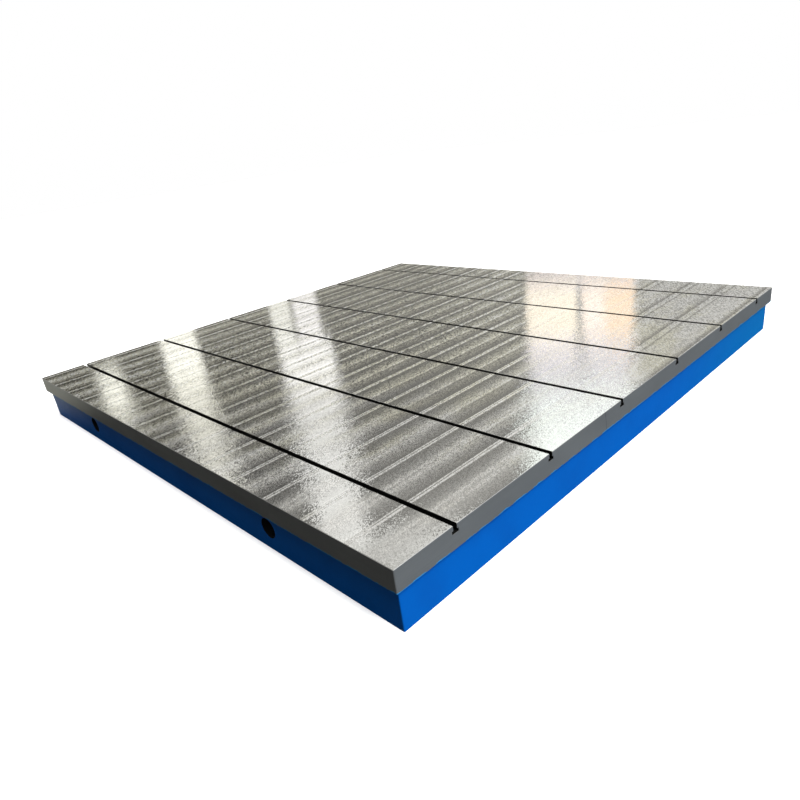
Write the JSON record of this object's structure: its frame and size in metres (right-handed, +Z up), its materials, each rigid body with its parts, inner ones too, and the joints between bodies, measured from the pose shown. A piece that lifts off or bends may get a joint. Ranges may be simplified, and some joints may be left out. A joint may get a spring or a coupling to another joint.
{
  "type": "cast iron surface plate",
  "caption": "Large square cast iron plate with a planed working face, T-slots along one way, a machined side band, blue walls and a ribbed open underside.",
  "frame": {"origin": "middle of the plate at the level of its foot", "axes": "+X along the T-slots, +Y across them, +Z up out of the working face"},
  "size_m": [3, 3, 0.24],
  "materials": {
    "casting": "top, side band and slots machined bright, cast walls and underside painted blue"
  },
  "bodies": {
    "root": {"surface_plate": "casting"}
  },
  "joints": []
}
